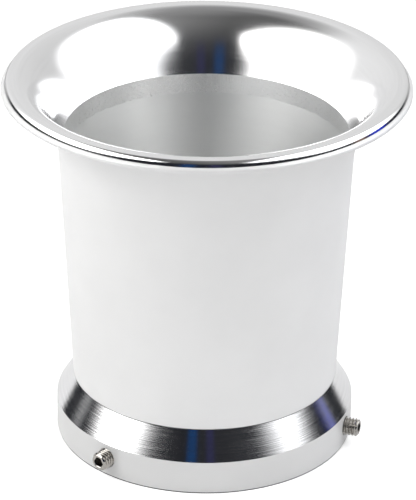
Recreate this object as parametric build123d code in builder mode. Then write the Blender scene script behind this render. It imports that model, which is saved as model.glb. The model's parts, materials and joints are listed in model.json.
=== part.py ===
"""Clamp-on carburettor velocity stack: a tapered horn with a rolled bellmouth, pressed into
a mounting collar that slips over the carburettor's mouth and is held by three set screws.

Millimetres, +Z up. The origin is the centre of the collar's bottom face, and the air comes
in at the bellmouth on top and leaves through the collar.
"""

from build123d import *
from math import cos, radians, sin, tan
import os

# Mounting collar
COLLAR_RADIUS = 32.0
BAND_HEIGHT = 7.4
COLLAR_TOP = 13.25
COLLAR_TOP_RADIUS = 28.4
EDGE_BREAK = 0.25

# Socket for the carburettor's mouth
SOCKET_RADIUS = 28.5
SOCKET_DEPTH = 9.8
SOCKET_LEAD_IN = 0.5

# Seat that the horn's spigot is pressed into
SEAT_RADIUS = 28.0

# Horn: a thin tapered tube that opens into the bellmouth
TAPER = tan(radians(2.9))
HORN_WALL = 1.4
OVERALL_HEIGHT = 81.4

# Bellmouth: it opens from a crisp edge in the bore and turns level at the crest
THROAT_HEIGHT = 69.0
THROAT_LEAN = radians(28.5)
BELL_RISE = 5.5
BELL_REACH = 4.0
CREST_RADIUS = 40.1

# Outside of the bellmouth: it leaves the tube on its taper and turns level under the lip
OUTER_FLARE_START = 64.7
OUTER_FLARE_RISE = 6.0
OUTER_FLARE_REACH = 6.4

# Lip: a narrow flat crest, a tight turn off its edge, a rounder bead, then a rounded rim below a step
CREST_FLAT = 1.09
DOME_ROUND = 0.5
DOME_END = 52.0
BEAD_ROUND = 1.8
BEAD_END = 10.0
RIM_RADIUS = 42.8
RIM_ROUND = 0.9
RIM_ROUND_HEIGHT = 79.3
RIM_ROUND_START = 62.0
UNDERSIDE_HEIGHT = 79.0
UNDERSIDE_ROUND = 0.2

# Sealing ring in its groove, squeezed flush with the socket as the carburettor holds it
RING_GROOVE_RADIUS = 29.7
RING_GROOVE_BOTTOM = 6.9
RING_GROOVE_WIDTH = 1.9
RING_HALF_HEIGHT = 0.85

# M4 x 6 set screws with a hexagon socket and a cup point
SCREW_RADIUS = 1.97
SCREW_PITCH = 0.7
THREAD_DEPTH = 0.38
THREAD_ROOT_FLAT = SCREW_PITCH / 4
THREAD_FLANK = tan(radians(30))
SCREW_LENGTH = 6.0
SCREW_END_CHAMFER = 0.4
SCREW_HOLE_RADIUS = 2.03
SCREW_HEIGHT = 4.1
HEX_ACROSS_FLATS = 2.0
HEX_DEPTH = 2.4
CUP_RADIUS = 1.05
CUP_DEPTH = 0.7

# Each screw's direction about +Z, counted from +X, and how far it stands out of the band
SET_SCREWS = {
    "set_screw_front": (-130.0, 2.6),
    "set_screw_side": (-18.0, 3.0),
    "set_screw_rear": (106.0, 3.0),
}


def tube_radius(height):
    """Outer radius of the horn's tube at a height."""
    return COLLAR_TOP_RADIUS + TAPER * (height - COLLAR_TOP)


def bore_radius(height):
    """Inner radius of the horn's tube at a height."""
    return tube_radius(height) - HORN_WALL


def screw_plane(direction):
    """Plane on the collar's axis at screw height, with its normal along the screw."""
    x_dir = Vector(0, 0, 1)
    return Plane(
        origin=(0, 0, SCREW_HEIGHT),
        x_dir=x_dir,
        z_dir=Vector(1, 0, 0).rotate(Axis.Z, direction),
    )


# Horn ---------------------------------------------------------------------------------

throat = (bore_radius(THROAT_HEIGHT), THROAT_HEIGHT)
dome_centre = (CREST_RADIUS + CREST_FLAT, OVERALL_HEIGHT - DOME_ROUND)
rim_centre = (RIM_RADIUS - RIM_ROUND, RIM_ROUND_HEIGHT)
under_centre = (RIM_RADIUS - UNDERSIDE_ROUND, UNDERSIDE_HEIGHT + UNDERSIDE_ROUND)
outer_flare_foot = tube_radius(OUTER_FLARE_START)


def on_arc(centre, radius, degrees):
    """Point on an arc, its angle counted from the radial direction."""
    return (centre[0] + radius * cos(radians(degrees)), centre[1] + radius * sin(radians(degrees)))


bead_centre = on_arc(dome_centre, DOME_ROUND - BEAD_ROUND, DOME_END)

with BuildPart() as horn:
    with BuildSketch(Plane.XZ):
        with BuildLine():
            spigot_inner = (bore_radius(SOCKET_DEPTH), SOCKET_DEPTH)
            Line(spigot_inner, throat)
            Bezier(
                throat,
                (throat[0] + BELL_RISE * sin(THROAT_LEAN), throat[1] + BELL_RISE * cos(THROAT_LEAN)),
                (CREST_RADIUS - BELL_REACH, OVERALL_HEIGHT),
                (CREST_RADIUS, OVERALL_HEIGHT),
            )
            Line((CREST_RADIUS, OVERALL_HEIGHT), (CREST_RADIUS + CREST_FLAT, OVERALL_HEIGHT))
            CenterArc(dome_centre, DOME_ROUND, DOME_END, 90 - DOME_END)
            CenterArc(bead_centre, BEAD_ROUND, BEAD_END, DOME_END - BEAD_END)
            Line(
                on_arc(bead_centre, BEAD_ROUND, BEAD_END),
                on_arc(rim_centre, RIM_ROUND, RIM_ROUND_START),
            )
            CenterArc(rim_centre, RIM_ROUND, 0, RIM_ROUND_START)
            Line((RIM_RADIUS, RIM_ROUND_HEIGHT), (RIM_RADIUS, under_centre[1]))
            CenterArc(under_centre, UNDERSIDE_ROUND, 270, 90)
            Bezier(
                (under_centre[0], UNDERSIDE_HEIGHT),
                (under_centre[0] - OUTER_FLARE_REACH, UNDERSIDE_HEIGHT),
                (outer_flare_foot + TAPER * OUTER_FLARE_RISE, OUTER_FLARE_START + OUTER_FLARE_RISE),
                (outer_flare_foot, OUTER_FLARE_START),
            )
            Polyline(
                (outer_flare_foot, OUTER_FLARE_START),
                (COLLAR_TOP_RADIUS, COLLAR_TOP),
                (SEAT_RADIUS, COLLAR_TOP),
                (SEAT_RADIUS, SOCKET_DEPTH),
                spigot_inner,
            )
        make_face()
    revolve(axis=Axis.Z)

# Mounting collar ----------------------------------------------------------------------

with BuildPart() as mounting_collar:
    with BuildSketch(Plane.XZ):
        with BuildLine():
            Polyline(
                (SOCKET_RADIUS + SOCKET_LEAD_IN, 0),
                (COLLAR_RADIUS - EDGE_BREAK, 0),
                (COLLAR_RADIUS, EDGE_BREAK),
                (COLLAR_RADIUS, BAND_HEIGHT),
                (COLLAR_TOP_RADIUS, COLLAR_TOP),
                (SEAT_RADIUS, COLLAR_TOP),
                (SEAT_RADIUS, SOCKET_DEPTH),
                (SOCKET_RADIUS, SOCKET_DEPTH),
                (SOCKET_RADIUS, SOCKET_LEAD_IN),
                close=True,
            )
        make_face()
        with Locations((RING_GROOVE_RADIUS, RING_GROOVE_BOTTOM)):
            Rectangle(
                2 * (RING_GROOVE_RADIUS - SOCKET_RADIUS),
                RING_GROOVE_WIDTH,
                align=(Align.MAX, Align.MIN),
                mode=Mode.SUBTRACT,
            )
    revolve(axis=Axis.Z)
    for direction, stand_out in SET_SCREWS.values():
        with BuildSketch(screw_plane(direction)):
            Circle(SCREW_HOLE_RADIUS)
        extrude(amount=COLLAR_RADIUS + SCREW_RADIUS, mode=Mode.SUBTRACT)

# Sealing ring -------------------------------------------------------------------------

ring_half_width = (RING_GROOVE_RADIUS - SOCKET_RADIUS) / 2

with BuildPart() as sealing_ring:
    with BuildSketch(Plane.XZ):
        ring_middle = RING_GROOVE_BOTTOM + RING_GROOVE_WIDTH / 2
        with Locations((SOCKET_RADIUS + ring_half_width, ring_middle)):
            Ellipse(ring_half_width, RING_HALF_HEIGHT)
    revolve(axis=Axis.Z)

# Set screws ---------------------------------------------------------------------------

thread_turns = int((SCREW_LENGTH - 2 * SCREW_END_CHAMFER) / SCREW_PITCH)
thread_start = (SCREW_LENGTH - thread_turns * SCREW_PITCH) / 2
root_radius = SCREW_RADIUS - THREAD_DEPTH
groove_half_width = THREAD_ROOT_FLAT / 2 + THREAD_DEPTH * THREAD_FLANK


def make_set_screw(name, direction, stand_out):
    """Screw along +Z with its cup point at z = 0, then laid into its hole in the collar."""
    with BuildPart() as screw:
        Cylinder(SCREW_RADIUS, SCREW_LENGTH, align=(Align.CENTER, Align.CENTER, Align.MIN))
        chamfer(screw.edges(), SCREW_END_CHAMFER)
        with BuildSketch(Plane.XZ):
            for turn in range(thread_turns):
                middle = thread_start + (turn + 0.5) * SCREW_PITCH
                with BuildLine():
                    Polyline(
                        (root_radius, middle - THREAD_ROOT_FLAT / 2),
                        (SCREW_RADIUS, middle - groove_half_width),
                        (SCREW_RADIUS, middle + groove_half_width),
                        (root_radius, middle + THREAD_ROOT_FLAT / 2),
                        close=True,
                    )
                make_face()
        revolve(axis=Axis.Z, mode=Mode.SUBTRACT)
        with BuildSketch(Plane.XY.offset(SCREW_LENGTH)):
            RegularPolygon(HEX_ACROSS_FLATS / 2, 6, major_radius=False)
        extrude(amount=-HEX_DEPTH, mode=Mode.SUBTRACT)
        with BuildSketch(Plane.XZ):
            with BuildLine():
                Polyline((0, 0), (CUP_RADIUS, 0), (0, CUP_DEPTH), close=True)
            make_face()
        revolve(axis=Axis.Z, mode=Mode.SUBTRACT)
    seat = screw_plane(direction).offset(COLLAR_RADIUS + stand_out - SCREW_LENGTH)
    placed = seat * screw.part
    placed.label = name
    return placed


# Export -------------------------------------------------------------------------------

os.makedirs("parts", exist_ok=True)

horn.part.label = "horn"
export_step(horn.part, "parts/horn.step")
mounting_collar.part.label = "mounting_collar"
export_step(mounting_collar.part, "parts/mounting_collar.step")
sealing_ring.part.label = "sealing_ring"
export_step(sealing_ring.part, "parts/sealing_ring.step")
for name, (direction, stand_out) in SET_SCREWS.items():
    export_step(make_set_screw(name, direction, stand_out), f"parts/{name}.step")
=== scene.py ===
"""A clamp-on carburettor velocity stack on a white table, between two tall soft panels, with a
weak fill light in front.

Lengths are in metres in the frame's own axes: +Z up, the camera on the -Y side. Each turned
piece is a lathe mesh whose outline repeats the CAD part's, with a fine recess in painted shade
added at the foot of the tube and another in place of the broken edge at the collar's foot. The
set screws have helical threads and hexagon sockets, and their holes have small countersinks.
"""

import json
from math import cos, pi, radians, sin, tan

import bmesh
import bpy
from mathutils import Matrix, Vector


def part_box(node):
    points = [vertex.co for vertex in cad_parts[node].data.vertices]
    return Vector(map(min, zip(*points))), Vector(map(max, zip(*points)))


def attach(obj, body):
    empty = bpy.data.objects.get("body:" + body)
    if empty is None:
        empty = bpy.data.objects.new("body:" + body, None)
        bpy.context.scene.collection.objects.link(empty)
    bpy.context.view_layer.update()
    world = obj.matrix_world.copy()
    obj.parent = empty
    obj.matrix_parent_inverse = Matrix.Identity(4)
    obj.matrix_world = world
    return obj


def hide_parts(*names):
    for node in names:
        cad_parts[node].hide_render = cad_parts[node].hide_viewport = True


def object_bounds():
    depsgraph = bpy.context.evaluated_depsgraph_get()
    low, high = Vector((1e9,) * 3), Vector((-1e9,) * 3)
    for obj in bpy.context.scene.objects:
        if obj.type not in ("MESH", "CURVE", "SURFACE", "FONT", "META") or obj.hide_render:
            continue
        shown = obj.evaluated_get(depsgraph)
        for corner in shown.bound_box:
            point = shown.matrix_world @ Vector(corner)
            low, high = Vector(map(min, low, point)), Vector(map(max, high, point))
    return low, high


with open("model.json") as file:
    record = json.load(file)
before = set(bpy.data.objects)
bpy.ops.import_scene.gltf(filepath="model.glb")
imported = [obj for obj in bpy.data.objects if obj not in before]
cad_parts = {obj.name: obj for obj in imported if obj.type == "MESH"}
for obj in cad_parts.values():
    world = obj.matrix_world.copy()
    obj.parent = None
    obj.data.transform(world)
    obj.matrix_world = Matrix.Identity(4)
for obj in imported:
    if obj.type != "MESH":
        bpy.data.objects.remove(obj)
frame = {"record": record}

cad_low, cad_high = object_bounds()

MM = 0.001

# Sizes -----------------------------------------------------------------------------------

_, collar_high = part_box("mounting_collar")
horn_low, horn_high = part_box("horn")
ring_low, ring_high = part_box("sealing_ring")

COLLAR_TOP = collar_high.z
COLLAR_RADIUS = 32.0 * MM
BAND_HEIGHT = 7.4 * MM
COLLAR_TOP_RADIUS = 28.4 * MM
COLLAR_SHARP_DEGREES = 25

# Recesses at the collar's foot and at the foot of the tube, coloured near-black as painted shade
FOOT_RECESS = 0.08 * MM
FOOT_GAP = 0.26 * MM
JOINT_RECESS = 0.08 * MM
JOINT_GAP = 0.18 * MM

SOCKET_RADIUS = 28.5 * MM
SOCKET_LEAD_IN = 0.5 * MM
SEAT_RADIUS = 28.0 * MM
SEAT_HEIGHT = horn_low.z
GROOVE_RADIUS = 29.7 * MM
GROOVE_LOW = 6.9 * MM
GROOVE_HIGH = 8.8 * MM

TAPER = tan(radians(2.9))
HORN_WALL = 1.4 * MM
RIM_HEIGHT = horn_high.z

# Bellmouth: bright cut from a crisp edge in the bore up over the crest and down the bead
THROAT_HEIGHT = 69.0 * MM
THROAT_LEAN = radians(28.5)
BELL_RISE = 5.5 * MM
BELL_REACH = 4.0 * MM
CREST_RADIUS = 40.1 * MM
CREST_FLAT = 1.09 * MM
DOME_ROUND = 0.5 * MM
DOME_END = 52.0
BEAD_ROUND = 1.8 * MM
BEAD_END = 10.0

# Satin rim below the small step where the bright cut ends
RIM_RADIUS = 42.8 * MM
RIM_ROUND = 0.9 * MM
RIM_ROUND_HEIGHT = 79.3 * MM
RIM_ROUND_START = 62.0
UNDERSIDE_HEIGHT = 79.0 * MM
UNDERSIDE_ROUND = 0.2 * MM

# Outside of the bellmouth
OUTER_FLARE_START = 64.7 * MM
OUTER_FLARE_RISE = 6.0 * MM
OUTER_FLARE_REACH = 6.4 * MM

# The bore is finished finer over its last few millimetres
FINE_BORE_START = 64.7 * MM

SCREW_HEIGHT = 4.1 * MM
SCREW_RADIUS = 1.97 * MM
SCREW_LENGTH = 6.0 * MM
SCREW_PITCH = 0.7 * MM
THREAD_DEPTH = 0.38 * MM
SCREW_END_CHAMFER = 0.4 * MM
HEX_ACROSS_FLATS = 2.0 * MM
HEX_DEPTH = 2.4 * MM
HEX_CHAMFER = 0.12 * MM
DRILLED_RADIUS = HEX_ACROSS_FLATS / 2 * 0.98
DRILL_POINT = DRILLED_RADIUS * 0.55
CONE_TIP = 0.04  # radius of the small flat at a cone's point, as a share of the cone's own
CUP_RADIUS = 1.05 * MM
CUP_DEPTH = 0.7 * MM
HOLE_RADIUS = 2.03 * MM
HOLE_COUNTERSINK = 0.18 * MM

TURNS = 384


def tube_radius(height):
    return COLLAR_TOP_RADIUS + TAPER * (height - COLLAR_TOP)


def bore_radius(height):
    return tube_radius(height) - HORN_WALL


# Outlines --------------------------------------------------------------------------------


class Outline:
    """Closed outline of (radius, height) points; each span keeps its material's index."""

    def __init__(self, start):
        self.points = [start]
        self.materials = []

    def extend(self, points, material):
        self.points += points
        self.materials += [material] * len(points)

    def line(self, end, steps, material):
        start = self.points[-1]
        shares = [i / steps for i in range(1, steps + 1)]
        points = [tuple(a + (b - a) * share for a, b in zip(start, end)) for share in shares]
        self.extend(points, material)

    def arc(self, centre, radius, begin, end, steps, material):
        """Angles in degrees, counted from the radial direction."""
        turn = [radians(begin + (end - begin) * i / steps) for i in range(1, steps + 1)]
        points = [(centre[0] + radius * cos(a), centre[1] + radius * sin(a)) for a in turn]
        self.extend(points, material)

    def cubic(self, p1, p2, p3, steps, material):
        """Bezier curve from the last point, with two control points and an end."""
        control = (self.points[-1], p1, p2, p3)
        points = []
        for i in range(1, steps + 1):
            t = i / steps
            weights = ((1 - t) ** 3, 3 * (1 - t) ** 2 * t, 3 * (1 - t) * t * t, t**3)
            radius, height = (sum(w * p[k] for w, p in zip(weights, control)) for k in (0, 1))
            points.append((radius, height))
        self.extend(points, material)

    def close(self, material):
        """The last span runs back to the first point."""
        self.materials.append(material)


# Mesh helpers ----------------------------------------------------------------------------


def finish_mesh(name, bm, materials, sharp_degrees):
    """Object from a bmesh, smooth but for edges sharper than the given angle."""
    bm.normal_update()
    mesh = bpy.data.meshes.new(name)
    bm.to_mesh(mesh)
    bm.free()
    for material in materials:
        mesh.materials.append(material)
    mesh.shade_smooth()
    mesh.set_sharp_from_angle(angle=radians(sharp_degrees))
    piece = bpy.data.objects.new(name, mesh)
    bpy.context.scene.collection.objects.link(piece)
    return piece


def lathe(outline, turns=TURNS):
    """Turns a closed outline about Z."""
    bm = bmesh.new()
    rings = []
    for radius, height in outline.points:
        ring = [
            bm.verts.new((radius * cos(2 * pi * k / turns), radius * sin(2 * pi * k / turns), height))
            for k in range(turns)
        ]
        rings.append(ring)
    for j, ring in enumerate(rings):
        ahead = rings[(j + 1) % len(rings)]
        for k in range(turns):
            nxt = (k + 1) % turns
            face = bm.faces.new((ring[k], ahead[k], ahead[nxt], ring[nxt]))
            face.material_index = outline.materials[j]
    bmesh.ops.recalc_face_normals(bm, faces=bm.faces)
    return bm


# Material helpers ------------------------------------------------------------------------


class Nodes:
    """Short forms for building one material's or world's node tree."""

    def __init__(self, tree):
        self.tree = tree
        tree.nodes.clear()

    def add(self, kind, inputs=None, **settings):
        node = self.tree.nodes.new(kind)
        for key, value in settings.items():
            setattr(node, key, value)
        for key, value in (inputs or {}).items():
            self.feed(node, key, value)
        return node

    def feed(self, node, key, value):
        socket = node.inputs[key]
        if isinstance(value, bpy.types.NodeSocket):
            self.tree.links.new(value, socket)
        else:
            socket.default_value = value

    def math(self, operation, a, b=0.0):
        node = self.add("ShaderNodeMath", {0: a, 1: b}, operation=operation)
        return node.outputs[0]

    def remap(self, value, low, high, to_low, to_high, smooth=False):
        node = self.add(
            "ShaderNodeMapRange",
            {"Value": value, "From Min": low, "From Max": high, "To Min": to_low, "To Max": to_high},
            interpolation_type="SMOOTHSTEP" if smooth else "LINEAR",
        )
        return node.outputs["Result"]

    def noise(self, vector, scale, detail=2.0, roughness=0.5):
        node = self.add(
            "ShaderNodeTexNoise",
            {"Vector": vector, "Scale": scale, "Detail": detail, "Roughness": roughness},
        )
        return node.outputs["Fac"]

    def mix_colour(self, factor, a, b):
        node = self.add("ShaderNodeMix", data_type="RGBA")
        self.feed(node, 0, factor)
        self.feed(node, 6, a)
        self.feed(node, 7, b)
        return node.outputs[2]

    def mottle_colour(self, pattern, dull, plain):
        """Plain RGB colour where the pattern is high, the dull one where it is low."""
        share = self.remap(pattern, 0.35, 0.65, 0.0, 1.0)
        return self.mix_colour(share, (*dull, 1), (*plain, 1))

    def bump(self, height, distance, strength):
        node = self.add("ShaderNodeBump", {"Height": height, "Distance": distance, "Strength": strength})
        return node.outputs["Normal"]

    def turned_vector(self, rings_per_metre, round_about):
        """Coordinates stretched round Z for a noise of unit scale: so many rings a metre along
        the lathe's feed, and about 2 * round_about units across a whole turn."""
        feed_slant = 0.7  # the feed also runs inwards, so that level faces show their rings
        position = self.add("ShaderNodeTexCoord").outputs["Object"]
        x, y, height = self.add("ShaderNodeSeparateXYZ", {0: position}).outputs
        squares = self.math("ADD", self.math("MULTIPLY", x, x), self.math("MULTIPLY", y, y))
        radius = self.math("SQRT", squares)
        unit_x = self.math("DIVIDE", x, radius)
        unit_y = self.math("DIVIDE", y, radius)
        feed = self.math("SUBTRACT", height, self.math("MULTIPLY", radius, feed_slant))
        vector = self.add(
            "ShaderNodeCombineXYZ",
            {
                0: self.math("MULTIPLY", unit_x, round_about),
                1: self.math("MULTIPLY", unit_y, round_about),
                2: self.math("MULTIPLY", feed, rings_per_metre),
            },
        )
        return vector.outputs[0]


def empty_material(name):
    material = bpy.data.materials.new(name)
    material.use_nodes = True
    return material, Nodes(material.node_tree)


def new_material(name):
    material, nodes = empty_material(name)
    shader = nodes.add("ShaderNodeBsdfPrincipled")
    nodes.add("ShaderNodeOutputMaterial", {"Surface": shader.outputs[0]})
    return material, nodes, shader


def dulled(colour, share):
    return tuple(channel * (1 - share) for channel in colour)


def turned_reflections(nodes, shader, anisotropy):
    """Rings cut round the axis spread a reflection across themselves, a quarter turn off."""
    tangent = nodes.add("ShaderNodeTangent", direction_type="RADIAL", axis="Z").outputs[0]
    nodes.feed(shader, "Anisotropic", anisotropy)
    nodes.feed(shader, "Anisotropic Rotation", 0.25)
    nodes.feed(shader, "Tangent", tangent)


# Materials -------------------------------------------------------------------------------


def satin_anodised(name, base, roughness):
    """Bead-blasted and clear anodised aluminium: even, pale and soft."""
    material, nodes, shader = new_material(name)
    position = nodes.add("ShaderNodeTexCoord").outputs["Object"]
    cloud = nodes.noise(position, 55.0, 3.0)
    grain = nodes.noise(position, 5200.0, 2.0, 0.6)
    nodes.feed(shader, "Base Color", nodes.mottle_colour(cloud, dulled(base, 0.035), base))
    nodes.feed(shader, "Metallic", 0.35)
    nodes.feed(shader, "Roughness", nodes.remap(grain, 0.3, 0.7, *roughness))
    nodes.feed(shader, "Normal", nodes.bump(grain, 0.02 * MM, 0.35))
    return material


def bright_cut(name, base, roughness, anisotropy, groove_depth, streak):
    """Aluminium cut bright on a lathe: fine rings round the axis that blur reflections along it.
    The streak is how much duller the rings' bottoms are."""
    material, nodes, shader = new_material(name)
    smoothest, roughest = roughness
    fine_rings = nodes.noise(nodes.turned_vector(5200.0, 2.0), 1.0, 2.0, 0.6)
    broad_rings = nodes.noise(nodes.turned_vector(1300.0, 1.2), 1.0, 1.0, 0.5)
    fine_share = nodes.math("MULTIPLY", fine_rings, 0.6)
    broad_share = nodes.math("MULTIPLY", broad_rings, 0.4)
    rings = nodes.math("ADD", fine_share, broad_share)
    nodes.feed(shader, "Base Color", nodes.mottle_colour(rings, dulled(base, streak), base))
    nodes.feed(shader, "Metallic", 1.0)
    nodes.feed(shader, "Roughness", nodes.remap(rings, 0.3, 0.7, roughest, smoothest))
    turned_reflections(nodes, shader, anisotropy)
    nodes.feed(shader, "Normal", nodes.bump(rings, groove_depth, 0.5))
    return material


def bored(name, base, roughness, anisotropy):
    """Anodised bore: the boring tool's rings spread every reflection far up and down the wall."""
    material, nodes, shader = new_material(name)
    rings = nodes.noise(nodes.turned_vector(700.0, 1.5), 1.0, 2.0, 0.5)
    position = nodes.add("ShaderNodeTexCoord").outputs["Object"]
    grain = nodes.noise(position, 4200.0, 2.0, 0.6)
    nodes.feed(shader, "Base Color", nodes.mottle_colour(rings, dulled(base, 0.01), base))
    nodes.feed(shader, "Metallic", 1.0)
    nodes.feed(shader, "Roughness", nodes.remap(grain, 0.3, 0.7, *roughness))
    turned_reflections(nodes, shader, anisotropy)
    nodes.feed(shader, "Normal", nodes.bump(grain, 0.01 * MM, 0.3))
    return material


def painted_shade_recess(name):
    """Painted shade for a narrow recess: near-black, dull grey metal that stands in for the shade in it,
    mottled at random.
    """
    material, nodes, shader = new_material(name)
    position = nodes.add("ShaderNodeTexCoord").outputs["Object"]
    shade_mottle = nodes.noise(position, 400.0, 3.0)
    nodes.feed(shader, "Base Color", nodes.mottle_colour(shade_mottle, (0.03, 0.03, 0.033), (0.06, 0.06, 0.06)))
    nodes.feed(shader, "Metallic", 0.5)
    nodes.feed(shader, "Roughness", nodes.remap(shade_mottle, 0.3, 0.7, 0.55, 0.7))
    return material


def screw_steel(name, base, roughness):
    """Plain stainless steel with slightly duller patches."""
    material, nodes, shader = new_material(name)
    position = nodes.add("ShaderNodeTexCoord").outputs["Object"]
    patches = nodes.noise(position, 900.0, 3.0)
    grain = nodes.noise(position, 9000.0, 2.0, 0.6)
    nodes.feed(shader, "Base Color", nodes.mottle_colour(patches, dulled(base, 0.2), base))
    nodes.feed(shader, "Metallic", 1.0)
    nodes.feed(shader, "Roughness", nodes.remap(grain, 0.3, 0.7, *roughness))
    nodes.feed(shader, "Normal", nodes.bump(grain, 0.01 * MM, 0.4))
    return material


def ring_rubber():
    material, nodes, shader = new_material("ring_rubber")
    position = nodes.add("ShaderNodeTexCoord").outputs["Object"]
    mottle = nodes.noise(position, 1500.0, 3.0)
    colour = nodes.mix_colour(mottle, (0.012, 0.012, 0.013, 1), (0.03, 0.03, 0.032, 1))
    nodes.feed(shader, "Base Color", colour)
    nodes.feed(shader, "Roughness", nodes.remap(mottle, 0.3, 0.7, 0.45, 0.62))
    nodes.feed(shader, "Normal", nodes.bump(mottle, 0.02 * MM, 0.4))
    return material


# How much the table adds to its own light for the camera, so that it shows white
TABLE_GLOW = 0.38


def table_white():
    """White table, which the camera sees brighter than the light alone makes it."""
    material, nodes, shader = new_material("table_white")
    position = nodes.add("ShaderNodeTexCoord").outputs["Object"]
    cloud = nodes.noise(position, 6.0, 2.0)
    pale = nodes.mix_colour(cloud, (0.84, 0.84, 0.84, 1), (0.86, 0.86, 0.86, 1))
    seen = nodes.add("ShaderNodeLightPath").outputs["Is Camera Ray"]
    # Painted shade: the metal sees the strips beside the panels darkened, so that they don't glare in it,
    # while the camera sees them plain
    sideways = nodes.add("ShaderNodeSeparateXYZ", {0: position}).outputs[0]
    beside_panel = nodes.remap(nodes.math("ABSOLUTE", sideways), 0.12, 0.36, 0.0, 1.0, smooth=True)
    dimmed = nodes.math("MULTIPLY", beside_panel, nodes.math("SUBTRACT", 1.0, seen))
    nodes.feed(shader, "Base Color", nodes.mix_colour(dimmed, pale, (0.42, 0.42, 0.42, 1)))
    nodes.feed(shader, "Roughness", 0.9)
    nodes.feed(shader, "Specular IOR Level", 0.1)
    nodes.feed(shader, "Emission Color", (1, 1, 1, 1))
    nodes.feed(shader, "Emission Strength", nodes.math("MULTIPLY", seen, TABLE_GLOW))
    return material


# Turned pieces ---------------------------------------------------------------------------


def make_horn():
    """Tapered tube, bellmouth and rolled lip as one closed turned piece: up the bore, over the
    lip and down the outside."""
    outer, bright, fine_bore, bore, spigot, crevice = 0, 1, 2, 3, 4, 5
    outline = Outline((bore_radius(SEAT_HEIGHT), SEAT_HEIGHT))
    outline.line((bore_radius(FINE_BORE_START), FINE_BORE_START), 48, bore)
    outline.line((bore_radius(THROAT_HEIGHT), THROAT_HEIGHT), 6, fine_bore)
    outline.cubic(
        (
            bore_radius(THROAT_HEIGHT) + BELL_RISE * sin(THROAT_LEAN),
            THROAT_HEIGHT + BELL_RISE * cos(THROAT_LEAN),
        ),
        (CREST_RADIUS - BELL_REACH, RIM_HEIGHT),
        (CREST_RADIUS, RIM_HEIGHT),
        110,
        bright,
    )
    outline.line((CREST_RADIUS + CREST_FLAT, RIM_HEIGHT), 4, bright)
    dome_centre = (CREST_RADIUS + CREST_FLAT, RIM_HEIGHT - DOME_ROUND)
    outline.arc(dome_centre, DOME_ROUND, 90, DOME_END, 12, bright)
    bead_shift = DOME_ROUND - BEAD_ROUND
    bead_turn = radians(DOME_END)
    bead_centre = (
        dome_centre[0] + bead_shift * cos(bead_turn),
        dome_centre[1] + bead_shift * sin(bead_turn),
    )
    outline.arc(bead_centre, BEAD_ROUND, DOME_END, BEAD_END, 30, bright)
    rim_centre = (RIM_RADIUS - RIM_ROUND, RIM_ROUND_HEIGHT)
    rim_turn = radians(RIM_ROUND_START)
    rim_start = (
        rim_centre[0] + RIM_ROUND * cos(rim_turn),
        rim_centre[1] + RIM_ROUND * sin(rim_turn),
    )
    outline.line(rim_start, 1, outer)
    outline.arc(rim_centre, RIM_ROUND, RIM_ROUND_START, 0, 16, outer)
    under_centre = (RIM_RADIUS - UNDERSIDE_ROUND, UNDERSIDE_HEIGHT + UNDERSIDE_ROUND)
    outline.line((RIM_RADIUS, under_centre[1]), 1, outer)
    outline.arc(under_centre, UNDERSIDE_ROUND, 0, -90, 8, outer)
    outer_foot = tube_radius(OUTER_FLARE_START)
    outline.cubic(
        (under_centre[0] - OUTER_FLARE_REACH, UNDERSIDE_HEIGHT),
        (outer_foot + TAPER * OUTER_FLARE_RISE, OUTER_FLARE_START + OUTER_FLARE_RISE),
        (outer_foot, OUTER_FLARE_START),
        70,
        outer,
    )
    outline.line((tube_radius(COLLAR_TOP + JOINT_GAP), COLLAR_TOP + JOINT_GAP), 40, outer)
    outline.line((COLLAR_TOP_RADIUS - JOINT_RECESS, COLLAR_TOP + JOINT_GAP), 1, crevice)
    outline.line((COLLAR_TOP_RADIUS - JOINT_RECESS, COLLAR_TOP), 1, crevice)
    outline.line((SEAT_RADIUS, COLLAR_TOP), 1, spigot)
    outline.line((SEAT_RADIUS, SEAT_HEIGHT), 2, spigot)
    outline.close(spigot)
    return finish_mesh(
        "horn_turned",
        lathe(outline),
        [
            satin_anodised("satin_outside", (0.83, 0.83, 0.83), (0.44, 0.52)),
            bright_cut("bellmouth_bright", (0.93, 0.93, 0.935), (0.11, 0.17), 0.4, 0.004 * MM, 0.04),
            bored("bore_fine", (0.97, 0.97, 0.97), (0.26, 0.31), 0.80),
            bored("bore_satin", (0.94, 0.945, 0.94), (0.37, 0.41), 0.76),
            bright_cut("spigot_turned", (0.85, 0.85, 0.855), (0.25, 0.35), 0.5, 0.01 * MM, 0.1),
            # painted shade: near-black colour in the recess at the joint
            painted_shade_recess("joint_painted_shade"),
        ],
        sharp_degrees=20,
    )


# Each screw's direction in degrees from +X, and how far it stands out of the band
SET_SCREWS = {
    "set_screw_front": (-130.0, 2.6 * MM),
    "set_screw_side": (-18.0, 3.0 * MM),
    "set_screw_rear": (106.0, 3.0 * MM),
}


def screw_matrix(direction, distance):
    """Places local +Z along the screw, at a distance from the collar's axis."""
    turn = Matrix.Rotation(radians(direction), 4, "Z") @ Matrix.Rotation(radians(90), 4, "Y")
    outward = Vector((cos(radians(direction)), sin(radians(direction)), 0))
    return Matrix.Translation(Vector((0, 0, SCREW_HEIGHT)) + outward * distance) @ turn


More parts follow.
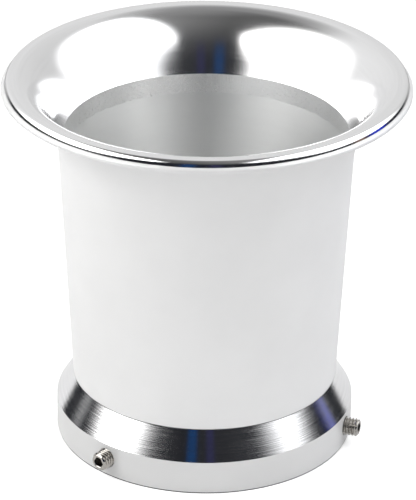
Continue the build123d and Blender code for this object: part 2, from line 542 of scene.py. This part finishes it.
def make_collar():
    """Collar with its satin band, bright chamfer, socket and three screw holes."""
    band, chamfer_cut, socket, crevice = 0, 1, 2, 3
    outline = Outline((SOCKET_RADIUS + SOCKET_LEAD_IN, 0.0))
    outline.line((COLLAR_RADIUS - FOOT_RECESS, 0.0), 2, socket)
    outline.line((COLLAR_RADIUS - FOOT_RECESS, FOOT_GAP), 1, crevice)
    outline.line((COLLAR_RADIUS, FOOT_GAP), 1, crevice)
    outline.line((COLLAR_RADIUS, BAND_HEIGHT), 18, band)
    outline.line((COLLAR_TOP_RADIUS, COLLAR_TOP), 16, chamfer_cut)
    outline.line((SEAT_RADIUS, COLLAR_TOP), 1, socket)
    outline.line((SEAT_RADIUS, SEAT_HEIGHT), 2, socket)
    outline.line((SOCKET_RADIUS, SEAT_HEIGHT), 1, socket)
    outline.line((SOCKET_RADIUS, GROOVE_HIGH), 1, socket)
    outline.line((GROOVE_RADIUS, GROOVE_HIGH), 1, socket)
    outline.line((GROOVE_RADIUS, GROOVE_LOW), 1, socket)
    outline.line((SOCKET_RADIUS, GROOVE_LOW), 1, socket)
    outline.line((SOCKET_RADIUS, SOCKET_LEAD_IN), 8, socket)
    outline.close(socket)
    piece = finish_mesh(
        "mounting_collar_turned",
        lathe(outline),
        [
            satin_anodised("satin_band", (0.72, 0.72, 0.72), (0.44, 0.52)),
            bright_cut("chamfer_turned", (0.88, 0.88, 0.89), (0.07, 0.13), 0.6, 0.022 * MM, 0.12),
            bright_cut("socket_turned", (0.80, 0.80, 0.81), (0.25, 0.35), 0.5, 0.01 * MM, 0.1),
            # painted shade: near-black colour in the recess at the collar's foot
            painted_shade_recess("foot_painted_shade"),
        ],
        COLLAR_SHARP_DEGREES,
    )
    for direction, _ in SET_SCREWS.values():
        cut_screw_hole(piece, direction)
    piece.data.set_sharp_from_angle(angle=radians(COLLAR_SHARP_DEGREES))
    return piece


def cut_screw_hole(piece, direction):
    """Cuts one radial hole with a small countersink at the band."""
    outline = [
        (0.0, 0.0),
        (HOLE_RADIUS, 0.0),
        (HOLE_RADIUS, COLLAR_RADIUS - HOLE_COUNTERSINK),
        (HOLE_RADIUS + 3 * HOLE_COUNTERSINK, COLLAR_RADIUS + 2 * HOLE_COUNTERSINK),
        (HOLE_RADIUS + 3 * HOLE_COUNTERSINK, COLLAR_RADIUS + SCREW_RADIUS),
        (0.0, COLLAR_RADIUS + SCREW_RADIUS),
    ]
    bm = bmesh.new()
    steps = 96
    rings = []
    for radius, height in outline:
        if radius == 0.0:
            rings.append([bm.verts.new((0, 0, height))])
            continue
        turn = [2 * pi * k / steps for k in range(steps)]
        rings.append([bm.verts.new((radius * cos(a), radius * sin(a), height)) for a in turn])
    for low, high in zip(rings, rings[1:]):
        for k in range(steps):
            nxt = (k + 1) % steps
            corners = [low[k % len(low)], low[nxt % len(low)], high[nxt % len(high)], high[k % len(high)]]
            bm.faces.new(list(dict.fromkeys(corners)))
    bmesh.ops.recalc_face_normals(bm, faces=bm.faces)
    cutter = finish_mesh("hole_cutter", bm, [], COLLAR_SHARP_DEGREES)
    cutter.matrix_world = screw_matrix(direction, 0.0)
    cut = piece.modifiers.new("hole", "BOOLEAN")
    cut.operation = "DIFFERENCE"
    cut.solver = "EXACT"
    cut.object = cutter
    bpy.context.view_layer.update()
    graph = bpy.context.evaluated_depsgraph_get()
    mesh = bpy.data.meshes.new_from_object(piece.evaluated_get(graph), depsgraph=graph)
    piece.modifiers.clear()
    piece.data = mesh
    bpy.data.objects.remove(cutter)


def make_sealing_ring():
    """Rubber ring of oval section that fills the room its CAD solid has in the groove."""
    middle = ((ring_high.x + SOCKET_RADIUS) / 2, (ring_low.z + ring_high.z) / 2)
    half_width = (ring_high.x - SOCKET_RADIUS) / 2
    half_height = (ring_high.z - ring_low.z) / 2
    steps = 24
    turn = [2 * pi * i / steps for i in range(steps)]
    points = [(middle[0] + half_width * cos(a), middle[1] + half_height * sin(a)) for a in turn]
    outline = Outline(points[0])
    outline.extend(points[1:], 0)
    outline.close(0)
    return finish_mesh("sealing_ring_rubber", lathe(outline, 192), [ring_rubber()], sharp_degrees=60)


# Set screws ------------------------------------------------------------------------------


def thread_radius(length, angle):
    """Radius of a right-hand thread: 60 degree flanks between a crest and a root flat."""
    phase = (length / SCREW_PITCH - angle / (2 * pi)) % 1.0
    crest_half, root_half = 0.07, 0.11
    away = min(phase, 1 - phase)
    if away < crest_half:
        drop = 0.0
    elif away > 0.5 - root_half:
        drop = 1.0
    else:
        drop = (away - crest_half) / (0.5 - root_half - crest_half)
    return SCREW_RADIUS - THREAD_DEPTH * drop


def make_set_screw(node, direction, stand_out, materials):
    """Threaded grub screw from its cup point at z = 0 to the hexagon socket at its outer end."""
    round_steps, along_steps = 96, 150
    turn = [2 * pi * k / round_steps for k in range(round_steps)]
    bm = bmesh.new()

    def ring(radius_of, height_of):
        return [bm.verts.new((radius_of(a) * cos(a), radius_of(a) * sin(a), height_of(a))) for a in turn]

    def hexagon(angle):
        """Distance from the axis to the socket's wall in a direction."""
        off = (angle + pi / 6) % (pi / 3) - pi / 6
        return HEX_ACROSS_FLATS / 2 / cos(off)

    end_radius = SCREW_RADIUS - SCREW_END_CHAMFER
    rings = [ring(lambda a: CUP_RADIUS * CONE_TIP, lambda a: CUP_DEPTH)]
    rings.append(ring(lambda a: CUP_RADIUS, lambda a: 0.0))
    for i in range(along_steps + 1):
        length = SCREW_LENGTH * i / along_steps
        from_end = min(length, SCREW_LENGTH - length)
        limit = end_radius + min(from_end, SCREW_END_CHAMFER)
        rings.append(ring(lambda a: min(limit, thread_radius(length, a)), lambda a: length))
    rings.append(ring(lambda a: hexagon(a) + HEX_CHAMFER, lambda a: SCREW_LENGTH))
    rings.append(ring(hexagon, lambda a: SCREW_LENGTH - HEX_CHAMFER))
    socket_first = len(rings) - 1
    rings.append(ring(hexagon, lambda a: SCREW_LENGTH - HEX_DEPTH * 0.5))
    rings.append(ring(hexagon, lambda a: SCREW_LENGTH - HEX_DEPTH))
    drill_end = SCREW_LENGTH - HEX_DEPTH - DRILL_POINT
    rings.append(ring(lambda a: DRILLED_RADIUS, lambda a: SCREW_LENGTH - HEX_DEPTH))
    rings.append(ring(lambda a: DRILLED_RADIUS * CONE_TIP, lambda a: drill_end))
    for j, (low, high) in enumerate(zip(rings, rings[1:])):
        for k in range(round_steps):
            nxt = (k + 1) % round_steps
            face = bm.faces.new((low[k], low[nxt], high[nxt], high[k]))
            # The socket's faces take the second steel, painted darker as shade inside the socket
            face.material_index = 1 if j >= socket_first else 0
    bm.faces.new(list(reversed(rings[0])))
    last = bm.faces.new(rings[-1])
    last.material_index = 1
    bmesh.ops.recalc_face_normals(bm, faces=bm.faces)
    piece = finish_mesh(node + "_threaded", bm, materials, sharp_degrees=32)
    piece.data.transform(screw_matrix(direction, COLLAR_RADIUS + stand_out - SCREW_LENGTH))
    return piece


# Studio ----------------------------------------------------------------------------------


def make_sheet(name, corners, material):
    """One flat face that belongs to the studio."""
    bm = bmesh.new()
    bm.faces.new([bm.verts.new(corner) for corner in corners])
    sheet = finish_mesh(name, bm, [material], sharp_degrees=30)
    return sheet


def make_table():
    """White table under the object."""
    half_width, front, back = 0.42, -0.60, 1.6
    outline = ((-half_width, front), (half_width, front), (half_width, back), (-half_width, back))
    make_sheet("table", [(x, y, 0) for x, y in outline], table_white())


# Where a panel's edge starts to fade in, as a share of its fade's width inwards from the edge
FADE_START = -0.3


def panel_glow(name, edges, strength, tint):
    """Even light inside soft straight edges, clear outside them. Each edge is a point (y, z) on
    it, the direction into the light in degrees from +Y towards +Z, and the width of its fade."""
    material, nodes = empty_material(name)
    position = nodes.add("ShaderNodeTexCoord").outputs["Object"]
    _, along, height = nodes.add("ShaderNodeSeparateXYZ", {0: position}).outputs
    lit = 1.0
    for (y, z), inward, width in edges:
        step_y = nodes.math("MULTIPLY", nodes.math("SUBTRACT", along, y), cos(radians(inward)))
        step_z = nodes.math("MULTIPLY", nodes.math("SUBTRACT", height, z), sin(radians(inward)))
        depth = nodes.math("ADD", step_y, step_z)
        inside = nodes.remap(depth, FADE_START * width, (1 + FADE_START) * width, 0.0, 1.0, smooth=True)
        lit = nodes.math("MULTIPLY", lit, inside)
    glow = nodes.add("ShaderNodeEmission", {"Color": (*tint, 1), "Strength": strength})
    clear = nodes.add("ShaderNodeBsdfTransparent")
    mixed = nodes.add("ShaderNodeMixShader", {0: lit, 1: clear.outputs[0], 2: glow.outputs[0]})
    nodes.add("ShaderNodeOutputMaterial", {"Surface": mixed.outputs[0]})
    return material


PANEL_DISTANCE = 0.45

# Edges of the two panels' lit areas, as panel_glow takes them
PANEL_LEFT = (
    ((-0.485, 0.42), 45.0, 0.18),
    ((0.00, 0.62), 243.9, 0.28),
    ((-0.93, 0.90), 0.0, 0.25),
    ((0.24, 0.30), 180.0, 0.40),
    ((0.00, 0.135), 90.0, 0.10),
)
PANEL_RIGHT = (
    ((-0.465, 0.42), 45.0, 0.18),
    ((0.00, 1.12), 270.0, 0.40),
    ((-1.10, 1.00), 0.0, 0.25),
    ((0.31, 0.30), 180.0, 0.30),
    ((0.00, 0.15), 90.0, 0.10),
)


def make_panel(name, x, edges, strength, tint):
    """Tall soft panel beside the object. The camera doesn't see it."""
    front, back, low, high = -1.4, 0.45, 0.05, 1.5
    outline = ((front, low), (back, low), (back, high), (front, high))
    glow = panel_glow(name + "_glow", edges, strength, tint)
    panel = make_sheet(name, [(x, y, z) for y, z in outline], glow)
    panel.visible_camera = False


def make_fill():
    """Broad weak light from the front, kept out of the reflections and weaker at its foot."""
    half_width, low, high, y, strength = 0.8, 0.3, 1.2, -1.2, 1.1
    material, nodes = empty_material("fill_glow")
    position = nodes.add("ShaderNodeTexCoord").outputs["Object"]
    height = nodes.add("ShaderNodeSeparateXYZ", {0: position}).outputs[2]
    brightness = nodes.remap(height, low, high, 0.8 * strength, strength)
    glow = nodes.add("ShaderNodeEmission", {"Strength": brightness})
    nodes.add("ShaderNodeOutputMaterial", {"Surface": glow.outputs[0]})
    outline = ((-half_width, low), (half_width, low), (half_width, high), (-half_width, high))
    fill = make_sheet("fill", [(x, y, z) for x, z in outline], material)
    fill.visible_camera = False
    fill.visible_glossy = False


# Things in the dark front of the room: sideways place, half width and colour
DARK_STRIPES = (
    (-0.17, 0.085, (0.011, 0.045, 0.135)),
    (0.09, 0.07, (0.030, 0.030, 0.075)),
)

# Things near the floor on the right: place and half width along the view, and colour
LOW_THINGS = (
    (0.02, 0.10, (0.22, 0.13, 0.09)),
    (0.27, 0.17, (0.0, 0.03, 0.58)),
)


def with_things(nodes, room, things, place, where, solid):
    """The room's colour with things laid over it; each fades from its solid share to its edge."""
    for centre, half, colour in things:
        off = nodes.math("ABSOLUTE", nodes.math("SUBTRACT", place, centre))
        share = nodes.remap(off, solid * half, half, 1.0, 0.0, smooth=True)
        share = nodes.math("MULTIPLY", share, where)
        room = nodes.mix_colour(share, room, (*colour, 1))
    return room


def make_world():
    """White behind everything that the camera sees; for reflections, a dark room in front and
    overhead, and a pale backdrop behind the object."""
    world = bpy.data.worlds.new("studio")
    world.use_nodes = True
    bpy.context.scene.world = world
    nodes = Nodes(world.node_tree)
    direction = nodes.add("ShaderNodeTexCoord").outputs["Generated"]
    side, ahead, up = nodes.add("ShaderNodeSeparateXYZ", {0: direction}).outputs
    flat = nodes.add("ShaderNodeCombineXYZ", {0: side, 1: ahead})
    level = nodes.add("ShaderNodeVectorMath", {0: flat.outputs[0]}, operation="NORMALIZE").outputs["Vector"]
    level_side, level_ahead, _ = nodes.add("ShaderNodeSeparateXYZ", {0: level}).outputs

    # Dark room in front with a grey ceiling, lighter towards the right and straight overhead
    ceiling = nodes.math("ADD", 0.15, nodes.math("MULTIPLY", side, 0.22))
    ceiling = nodes.math("MAXIMUM", 0.105, ceiling)
    ceiling = nodes.math("ADD", ceiling, nodes.remap(up, 0.93, 1.0, 0.0, 0.09))
    ceiling_colour = nodes.add("ShaderNodeCombineColor", {0: ceiling, 1: ceiling, 2: ceiling}).outputs[0]
    overhead = nodes.remap(up, 0.48, 0.88, 0.0, 1.0, smooth=True)
    room = nodes.mix_colour(overhead, (0.012, 0.013, 0.017, 1), ceiling_colour)
    in_front = nodes.math("LESS_THAN", level_ahead, 0.0)
    low_down = nodes.math("MULTIPLY", in_front, nodes.remap(up, 0.56, 0.66, 1.0, 0.0, smooth=True))
    room = with_things(nodes, room, DARK_STRIPES, level_side, low_down, solid=0.5)

    # Coloured things near the floor beside the right panel's back edge
    on_the_right = nodes.math("GREATER_THAN", side, 0.0)
    near_the_floor = nodes.remap(up, 0.10, 0.20, 1.0, 0.0, smooth=True)
    low_right = nodes.math("MULTIPLY", on_the_right, near_the_floor)
    room = with_things(nodes, room, LOW_THINGS, level_ahead, low_right, solid=0.3)

    # Pale backdrop, greyer towards the right and at its top
    pale = nodes.remap(side, -0.7, 0.7, 0.86, 0.66)
    pale_colour = nodes.add("ShaderNodeCombineColor", {0: pale, 1: pale, 2: pale}).outputs[0]
    lifted = nodes.math("SUBTRACT", up, nodes.math("MULTIPLY", side, 0.16))
    backdrop_top = nodes.remap(lifted, 0.72, 1.0, 0.0, 1.0, smooth=True)
    backdrop = nodes.mix_colour(backdrop_top, pale_colour, (0.27, 0.27, 0.27, 1))

    # It wraps further round high up and less far round near the floor
    held_back = nodes.remap(up, 0.06, 0.16, 0.45, 0.0, smooth=True)
    high_up = nodes.remap(up, 0.50, 0.85, 0.0, 0.45)
    beyond = nodes.math("ADD", nodes.math("SUBTRACT", level_ahead, held_back), high_up)
    behind = nodes.remap(beyond, 0.20, nodes.math("ADD", 0.50, high_up), 0.0, 1.0, smooth=True)
    seen_by_metal = nodes.mix_colour(behind, room, backdrop)

    camera_ray = nodes.add("ShaderNodeLightPath").outputs["Is Camera Ray"]
    colour = nodes.mix_colour(camera_ray, seen_by_metal, (1, 1, 1, 1))
    background = nodes.add("ShaderNodeBackground", {"Color": colour, "Strength": 1.0})
    nodes.add("ShaderNodeOutputWorld", {"Surface": background.outputs[0]})


def make_camera():
    """Looks down at the middle of the object from the -Y side."""
    centre = (cad_low + cad_high) / 2
    distance_out, height, roll = 0.6133, 0.3490, radians(0.51)
    data = bpy.data.cameras.new("camera")
    data.sensor_width = 36.0
    data.lens = 232.1
    data.clip_start = 0.05
    data.clip_end = 20.0
    camera = bpy.data.objects.new("camera", data)
    bpy.context.scene.collection.objects.link(camera)
    eye = Vector((0, -distance_out, height))
    target = centre + Vector((0.5 * MM, 0, 0.4 * MM))
    look = (target - eye).to_track_quat("-Z", "Y").to_matrix().to_4x4()
    camera.matrix_world = Matrix.Translation(eye) @ look @ Matrix.Rotation(roll, 4, "Z")
    bpy.context.scene.camera = camera


# The scene -------------------------------------------------------------------------------

bpy.context.scene.view_settings.view_transform = "Standard"
bpy.context.scene.view_settings.look = "None"

make_camera()
make_world()
make_table()
make_fill()
make_panel("panel_left", -PANEL_DISTANCE, PANEL_LEFT, 4.8, (1.0, 0.995, 0.985))
make_panel("panel_right", PANEL_DISTANCE, PANEL_RIGHT, 2.9, (0.985, 0.99, 1.0))

horn = make_horn()
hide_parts("horn")
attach(horn, "stack")

collar = make_collar()
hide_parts("mounting_collar")
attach(collar, "stack")

seal = make_sealing_ring()
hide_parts("sealing_ring")
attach(seal, "stack")

screw_materials = [
    screw_steel("screw_stainless", (0.48, 0.46, 0.43), (0.12, 0.22)),
    # Painted shade: the socket's steel is darker than the screw's, standing in for the shade inside it; its
    # higher roughness is a duller finish
    screw_steel("socket_shaded_stainless", (0.30, 0.28, 0.26), (0.25, 0.40)),
]
bodies = frame["record"]["behaviour"]["bodies"]
for node, (direction, stand_out) in SET_SCREWS.items():
    screw = make_set_screw(node, direction, stand_out, screw_materials)
    body = next(name for name, members in bodies.items() if node in members)
    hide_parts(node)
    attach(screw, body)
